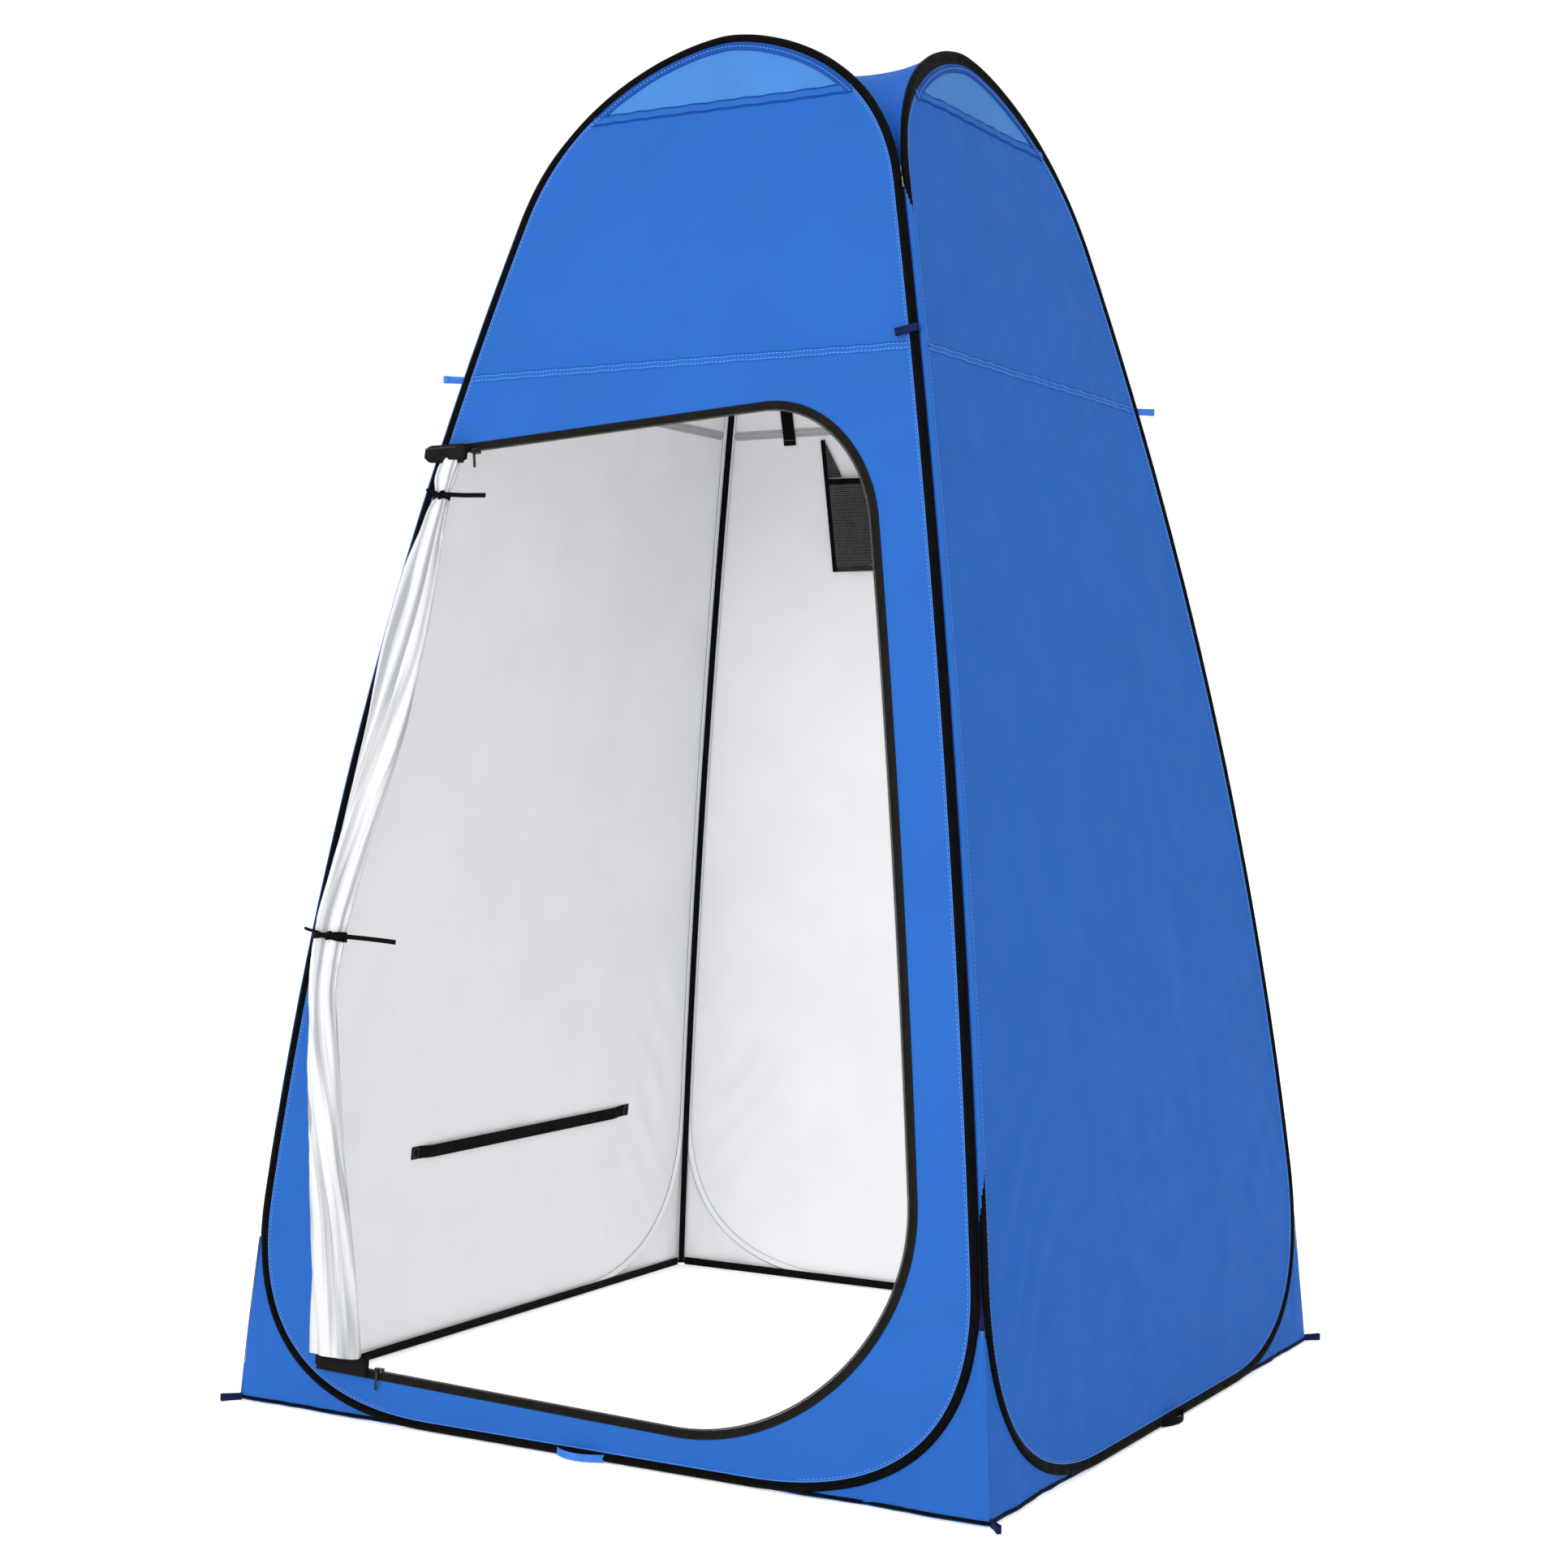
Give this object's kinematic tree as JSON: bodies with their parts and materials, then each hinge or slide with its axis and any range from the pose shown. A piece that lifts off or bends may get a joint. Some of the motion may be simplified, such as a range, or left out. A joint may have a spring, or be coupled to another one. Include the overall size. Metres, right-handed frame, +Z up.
{
  "type": "pop-up privacy shower tent",
  "caption": "Tall square pop-up tent with leaning blue walls on spring hoops, an arched crown and a zip door gathered to one side.",
  "frame": {"origin": "centre of the base, on the ground", "axes": "+Z up; the wall with the door faces -Y"},
  "size_m": [1.2418, 1.2631, 1.9796],
  "materials": {
    "wall_fabric": "blue coated polyester, silver coating inside",
    "cap_fabric": "lighter, thinner blue polyester",
    "crown_fabric": "blue coated polyester",
    "sleeve_tape": "black woven binding",
    "spring_steel": "spring-tempered wire",
    "loop_webbing": "dark navy webbing",
    "black_webbing": "black webbing tape",
    "zip_tape": "black knitted zip tape",
    "zip_coil": "black nylon coil",
    "door_lining": "silver-white coated side of the door fabric",
    "mesh": "open black mesh",
    "slider_metal": "black painted zinc"
  },
  "bodies": {
    "front_wall": {"front_lower_panel": "wall_fabric", "front_upper_panel": "wall_fabric", "front_cap_panel": "cap_fabric", "front_sleeve": "sleeve_tape", "front_hoop": "spring_steel", "front_skirt": "wall_fabric", "front_crown_gore": "crown_fabric", "front_stake_loop": "loop_webbing", "front_left_corner_tape": "black_webbing", "front_left_stake_loop": "loop_webbing", "front_left_guy_loop": "loop_webbing", "front_right_guy_loop": "loop_webbing", "door_zip_tape": "zip_tape", "door_zip_coil": "zip_coil", "door_roll": "door_lining", "door_tape_top_fold": "zip_tape", "door_tape_bottom_fold": "zip_tape", "upper_tie_back": "black_webbing", "lower_tie_back": "black_webbing"},
    "right_wall": {"right_lower_panel": "wall_fabric", "right_upper_panel": "wall_fabric", "right_cap_panel": "cap_fabric", "right_sleeve": "sleeve_tape", "right_hoop": "spring_steel", "right_skirt": "wall_fabric", "right_crown_gore": "crown_fabric", "right_stake_loop": "loop_webbing", "front_right_corner_tape": "black_webbing", "front_right_stake_loop": "loop_webbing"},
    "back_wall": {"back_lower_panel": "wall_fabric", "back_upper_panel": "wall_fabric", "back_cap_panel": "cap_fabric", "back_sleeve": "sleeve_tape", "back_hoop": "spring_steel", "back_skirt": "wall_fabric", "back_crown_gore": "crown_fabric", "back_stake_loop": "loop_webbing", "back_right_corner_tape": "black_webbing", "back_right_stake_loop": "loop_webbing", "back_right_guy_loop": "loop_webbing", "hanging_strap": "black_webbing", "pocket_mesh": "mesh", "pocket_binding": "black_webbing"},
    "left_wall": {"left_lower_panel": "wall_fabric", "left_upper_panel": "wall_fabric", "left_cap_panel": "cap_fabric", "left_sleeve": "sleeve_tape", "left_hoop": "spring_steel", "left_skirt": "wall_fabric", "left_crown_gore": "crown_fabric", "left_stake_loop": "loop_webbing", "back_left_corner_tape": "black_webbing", "back_left_stake_loop": "loop_webbing", "back_left_guy_loop": "loop_webbing", "towel_strap": "black_webbing"},
    "upper_slider": {"upper_slider": "slider_metal"},
    "upper_pull": {"upper_pull": "slider_metal"},
    "lower_slider": {"lower_slider": "slider_metal"},
    "lower_pull": {"lower_pull": "slider_metal"}
  },
  "joints": [
    {"name": "fold_right", "type": "hinge", "parent": "front_wall", "child": "right_wall", "pos_m": [0.596, -0.596, 0], "axis": [-0.1596, 0.1596, 0.9742], "range_deg": [0, 45], "deforming": ["front_crown_gore", "right_crown_gore"]},
    {"name": "fold_left", "type": "hinge", "parent": "front_wall", "child": "left_wall", "pos_m": [-0.64265, -0.64265, 0], "axis": [0.158, 0.158, 0.9747], "range_deg": [0, 45], "deforming": ["left_crown_gore"]},
    {"name": "fold_back", "type": "hinge", "parent": "right_wall", "child": "back_wall", "pos_m": [0.64265, 0.64265, 0], "axis": [-0.158, -0.158, 0.9747], "range_deg": [-45, 0], "deforming": ["back_crown_gore"]},
    {"name": "upper_slider_slide", "type": "slide", "parent": "front_wall", "child": "upper_slider", "axis": [0.9978, 0.0143, 0.0649], "range_m": [0, 0.45]},
    {"name": "lower_slider_slide", "type": "slide", "parent": "front_wall", "child": "lower_slider", "axis": [0.9997, -0.0017, -0.0229], "range_m": [0, 0.45]},
    {"name": "upper_pull_swing", "type": "hinge", "parent": "upper_slider", "child": "upper_pull", "pos_m": [-0.33349, -0.41014, 1.38203], "axis": [-0.9978, -0.0143, -0.0649], "range_deg": [0, 120]},
    {"name": "lower_pull_swing", "type": "hinge", "parent": "lower_slider", "child": "lower_pull", "pos_m": [-0.346, -0.60177, 0.07241], "axis": [-0.9997, 0.0017, 0.0229], "range_deg": [0, 120]}
  ],
  "couplings": [
    {"joint": "fold_left", "follows": "fold_right", "ratio": 0.99},
    {"joint": "fold_back", "follows": "fold_right", "ratio": -0.99}
  ]
}
